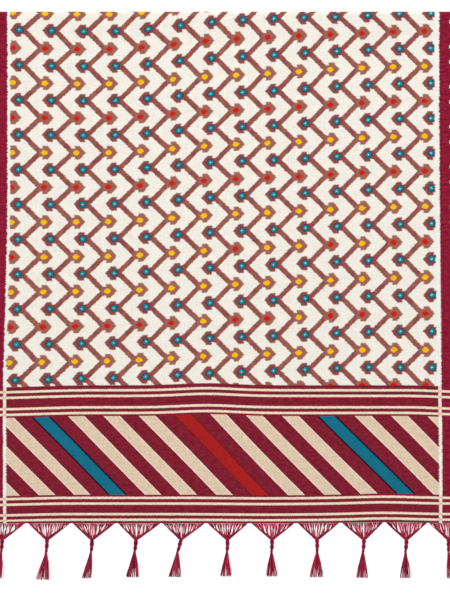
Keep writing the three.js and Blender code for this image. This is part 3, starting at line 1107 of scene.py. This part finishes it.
@dataclass
class Tassel:
    """Warp ends gathered to a point, twisted into a neck and cut to a skirt, in mm."""

    left: float  # ends of the fan on the hem
    right: float
    apex: float  # x of the knot
    neck: float  # x of the neck's end
    skirt: float  # x of the middle of the cut ends
    width: float  # across the cut ends
    reach: float  # y that they come to
    apex_y: float = -490.0
    neck_y: float = -512.0
    hem_y: float = -455.3
    neck_radius: float = 3.2
    waist: float = 1.9
    clear: float = 0.3
    yarn: float = 0.34
    turns: float = 1.3
    steps: int = 9  # points along a loose thread
    locks: int = 7  # in each half of the fan, and in the skirt
    per_mm: float = 1.4  # loose threads in the fan for each mm of hem
    side_threads: int = 30  # more threads down each side of the fan
    fan_girth: float = 1.35  # radius of a loose thread in the fan, in yarns
    skirt_girth: float = 1.2  # and in the skirt

    def fan(self, bundle: Bundle, rng: np.random.Generator) -> None:
        """The loose ends between the hem and the knot, in two halves with a gap between.

        With the drop from hem to knot as t, a thread from a share s of the half's width
        would be at s (1 - t)^p of it, where p below 1 bows it outwards. A sine over t draws it
        to its lock's middle, and a bell pushes it from the gap. The smooth lesser of that and
        of the side's line, 1 - t less a small sag, holds it inside the side. The threads of
        one lock have one p, and are painted the paler the less they are drawn together: painted
        light through loose threads, and painted shade where they bunch.

        Args:
            bundle: Where the tubes go.
            rng: Source of the small differences.
        """
        drop = np.linspace(0.0, 1.0, self.steps)[None, :]
        swell = np.sin(np.pi * drop)
        lens = np.sin(np.pi * drop ** 1.1) ** 1.8
        locks, dense = self.locks, self.side_threads
        for end in (self.left, self.right):
            side = np.sign(end - self.apex)
            span = abs(end - self.apex) - self.yarn
            inner = int(span * self.per_mm)
            count = inner + dense
            share = (np.arange(inner) + 0.5) / inner
            share = np.concatenate([share, 1.0 - 0.2 * rng.uniform(0.0, 1.0, dense) ** 1.5])
            lock = share * locks + rng.uniform(-0.2, 0.2, count)
            lock = np.clip(lock, 0, locks - 1).astype(int)
            bowed = rng.uniform(0.25, 0.75, locks)[lock]
            drawn = rng.uniform(0.05, 1.0, locks)[lock]
            pull = (drawn * ((lock + 0.5) / locks - share))[:, None]
            parting, part = rng.uniform(-0.1, 0.45), rng.uniform(0.03, 0.1)
            share = (share + rng.normal(0.0, 0.006, count))[:, None]
            power = (bowed + rng.normal(0.0, 0.05, count))[:, None]
            beside = share - parting
            opened = np.where(beside > 0.0, 1.0, -0.4) * np.exp(-6.0 * abs(beside))
            free = share * (1.0 - drop) ** power + pull * swell + part * lens * opened
            wide = rng.uniform(0.0, 1.0, count)[:, None]
            line = 1.0 - drop - 0.17 * wide * np.sin(0.92 * np.pi * drop ** 1.8)
            near = 0.5 * (free + line - np.sqrt((free - line) ** 2 + 0.0016 * abs(share)))
            deep = rng.uniform(-1.0, 1.0, count)[:, None]
            x = self.apex + side * (span * near + (2.2 - 4.2 * wide) * drop)
            root_y = self.hem_y + Lie.hem_lift(x[:, :1])
            y = root_y + (self.apex_y + 1.0 - 2.0 * wide - root_y) * drop
            root_z = self.clear + 1.4 * self.yarn + rng.uniform(0.0, 1.0, count)[:, None]
            knot_z = self.clear + self.neck_radius + 1.6 * deep
            z = root_z + (knot_z - root_z) * drop ** 1.7
            girth = np.full((count, self.steps, 3), self.fan_girth * self.yarn)
            radii = girth * rng.uniform(0.8, 1.25, (count, 1, 1))
            # Painted light and shade: loosely drawn threads are paler, as light through them,
            # tightly drawn ones darker, as the shade of a bunch, with a random tone on top; the
            # side threads that bunch into the arms are dark, painted shade.
            tone_and_painted_light = np.clip(0.9 - 0.75 * drawn + rng.normal(0.0, 0.14, count), 0.0, 1.0)
            tone_and_painted_light[inner:] = rng.uniform(0.0, 0.25, dense)
            bundle.add(np.stack([x, y, z], axis=-1), radii, tone_and_painted_light)

    def twisted_neck(self, bundle: Bundle, rng: np.random.Generator) -> None:
        """Two plies wound round each other; each is a tube fluted by its own threads.

        Args:
            bundle: Where the tubes go.
            rng: Source of the small differences.
        """
        steps, sides = 26, 24
        t = np.linspace(0.0, 1.0, steps)
        swell = np.interp(t, [0.0, 0.15, 0.35, 0.6, 0.85, 1.0], [0.75, 0.95, 1.0, 0.95, 0.72, 0.6])
        girth = swell * self.neck_radius
        start = rng.uniform(0.0, np.pi)
        x = self.apex + (self.neck - self.apex) * t + np.sin(np.pi * t) * 0.5
        y = self.apex_y + 4.0 + (self.neck_y - 1.0 - self.apex_y - 4.0) * t
        z = self.clear / 2 + 1.06 * girth
        flutes = np.linspace(0.0, 2.0 * np.pi, sides, endpoint=False)
        for ply in range(2):
            turn = start + np.pi * ply + 2.0 * np.pi * self.turns * t
            path = np.stack([x + 0.5 * girth * np.cos(turn), y,
                             z + 0.2 * girth * np.sin(turn)], axis=-1)
            wave = 1.0 + 0.07 * np.cos(8.0 * flutes[None, :] - 3.0 * turn[:, None])
            radii = (0.8 * girth)[:, None] * wave
            # The plies are kept near the dark crimson: painted shade of the tight, twisted neck.
            bundle.add(path[None], radii[None], rng.uniform(0.0, 0.2, 1))

    def cut_ends(self, bundle: Bundle, rng: np.random.Generator) -> None:
        """The skirt: threads that leave the neck as one bundle and spread in locks.

        A thread's place across the skirt is drawn towards its lock's middle, a few stray
        outside, and each is cut a little short of the reach.

        Args:
            bundle: Where the tubes go.
            rng: Source of the small differences.
        """
        count, locks = int(rng.integers(66, 116)), self.locks
        place = (np.arange(count) + 0.5) / count
        lock = (place * locks).astype(int)
        held = rng.uniform(0.3, 1.0, locks)[lock] * rng.uniform(0.6, 1.0, count)
        place = place + ((lock + 0.5) / locks - place) * held - 0.5
        place += rng.normal(0.0, 0.012, count)
        stray = rng.uniform(0.0, 1.0, count) < 0.12
        place = np.where(stray, place * 1.25, place)
        ragged = rng.gamma(1.5, 1.2, count)
        end_y = (self.reach + np.clip(ragged, 0.0, 8.0))[:, None]
        t = np.linspace(0.0, 1.0, self.steps)[None, :]
        angle = rng.uniform(0.0, 2.0 * np.pi, count)[:, None]
        off = np.sqrt(rng.uniform(0.0, 1.0, count))[:, None] * (self.waist - 0.2)
        spread = 1.0 - (1.0 - t) ** 1.3
        wander = rng.normal(0.0, 0.5, count)[:, None] * np.sin(np.pi * t)
        x = (self.neck + (self.skirt - self.neck) * t ** 1.2
             + (place * self.width)[:, None] * spread
             + off * np.cos(angle) * (1.0 - t) ** 2 + wander)
        start_y = self.neck_y + 2.0
        y = start_y + (end_y - start_y) * t
        thread = self.skirt_girth * self.yarn
        level = self.clear + thread + rng.uniform(0.0, 1.6, count)[:, None]
        high = self.clear + self.waist + off * np.sin(angle)
        z = np.maximum(high + (level - high) * ramp(t, 0.0, 0.75), self.clear + thread)
        girth = np.full((count, self.steps, 3), thread)
        radii = girth * rng.uniform(0.85, 1.25, (count, 1, 1))
        # Each lock's random tone is partly painted highlight on the locks; the strays are painted
        # paler, as light passing through a single thread.
        tone_and_painted_light = rng.uniform(0.0, 0.6, locks)[lock]
        tone_and_painted_light = tone_and_painted_light + rng.normal(0.05, 0.2, count) + 0.4 * stray
        bundle.add(np.stack([x, y, z], axis=-1), radii, np.clip(tone_and_painted_light, 0.0, 1.0))

    def build(self, node: str, rng: np.random.Generator,
              material: bpy.types.Material) -> bpy.types.Object:
        """Builds and dresses the tassel.

        Args:
            node: The solid that it replaces.
            rng: Source of the small differences.
            material: Its finish.

        Returns:
            The tassel.
        """
        bundle = Bundle()
        self.fan(bundle, rng)
        self.twisted_neck(bundle, rng)
        self.cut_ends(bundle, rng)
        piece = bundle.build(node.replace("tassel", "fringe_tassel"))
        piece.data.materials.append(material)
        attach(piece, "root")
        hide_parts(node)
        return piece


@dataclass
class Fringe:
    """The eleven tassels, from left to right."""

    finish: LooseYarn = field(default_factory=LooseYarn)
    tassels: tuple[Tassel, ...] = (
        Tassel(-490, -394, -440, -442, -452, 24, -566),
        Tassel(-388, -304, -350, -352, -358, 25, -568.8),
        Tassel(-299, -214, -260, -262, -271, 19, -565.5),
        Tassel(-208, -123, -172, -175, -179, 25, -563.5),
        Tassel(-119, -34, -82, -89, -94, 22, -563),
        Tassel(-29, 52, 11, 10, 8, 21, -562),
        Tassel(59, 145, 100, 99, 100, 21, -562),
        Tassel(152, 235, 190, 190, 189, 24, -563.5),
        Tassel(240, 323, 284, 282, 281, 23, -565),
        Tassel(327, 411, 369, 367, 367, 22, -565),
        Tassel(414, 490, 453, 453, 462, 24, -566),
    )

    def build(self) -> list[bpy.types.Object]:
        """Builds every tassel, each from its own run of random numbers.

        Returns:
            The tassels.
        """
        material = self.finish.material("fringe_yarn")
        made = []
        for number, tassel in enumerate(self.tassels, start=1):
            rng = np.random.default_rng([SEED, number])
            made.append(tassel.build(f"tassel_{number:02d}", rng, material))
            LOG.info("%s: %d faces", made[-1].name, len(made[-1].data.polygons))
        return made


# ---- the studio


@dataclass
class Studio:
    """A pale floor, soft light and the camera, in metres."""

    aim: tuple[float, float] = (0.006, -0.008)
    distance: float = 3.3333
    cloth_top: float = 0.004
    lens: float = 100.0

    def floor(self) -> None:
        """A plain floor under the cloth."""
        size = 12.0
        mesh = bpy.data.meshes.new("floor")
        corners = [(-size, -size), (size, -size), (size, size), (-size, size)]
        mesh.from_pydata([(x, y, -0.0003) for x, y in corners], [], [(0, 1, 2, 3)])
        thing = bpy.data.objects.new("floor", mesh)
        bpy.context.collection.objects.link(thing)
        nodes = Nodes("floor_white")
        shader = nodes.node("BsdfPrincipled", Base_Color=(0.3, 0.3, 0.3, 1.0), Roughness=0.9,
                            Emission_Color=(1.0, 1.0, 1.0, 1.0), Emission_Strength=0.78)
        nodes.node("OutputMaterial", Surface=shader.outputs[0])
        mesh.materials.append(nodes.material)

    def lamp(self, name: str, place: tuple[float, float, float],
             turn: tuple[float, float, float], size: float, power: float) -> None:
        """A square soft light.

        Args:
            name: Its name.
            place: Where it is.
            turn: Its rotation; unturned it shines down.
            size: Length of its side.
            power: Watts.
        """
        light = bpy.data.lights.new(name, "AREA")
        light.size = size
        light.energy = power
        thing = bpy.data.objects.new(name, light)
        thing.location = place
        thing.rotation_euler = turn
        bpy.context.collection.objects.link(thing)

    def build(self) -> None:
        """Sets up the whole studio."""
        self.floor()
        self.lamp("soft_box_over", (0.0, 0.0, 4.2), (0.0, 0.0, 0.0), 4.0, 100.0)
        self.lamp("soft_box_fold", (0.0, 3.2, 1.3), (math.radians(-68.0), 0.0, 0.0), 2.5, 40.0)
        world = bpy.data.worlds.new("studio")
        world.use_nodes = True
        back = world.node_tree.nodes["Background"]
        back.inputs["Color"].default_value = (1.0, 1.0, 1.0, 1.0)
        back.inputs["Strength"].default_value = 0.45
        scene = bpy.context.scene
        scene.world = world
        scene.view_settings.view_transform = "Standard"
        camera = bpy.data.objects.new("camera", bpy.data.cameras.new("camera"))
        camera.data.lens = self.lens
        camera.data.sensor_width = 36.0
        camera.location = (*self.aim, self.cloth_top + self.distance)
        bpy.context.collection.objects.link(camera)
        scene.camera = camera


def main() -> None:
    """Builds the studio, the cloth and its fringe."""
    logging.basicConfig(level=logging.INFO)
    Studio().build()
    front, under = FoldedCloth().build()
    tassels = Fringe().build()


if __name__ == "__main__":
    main()
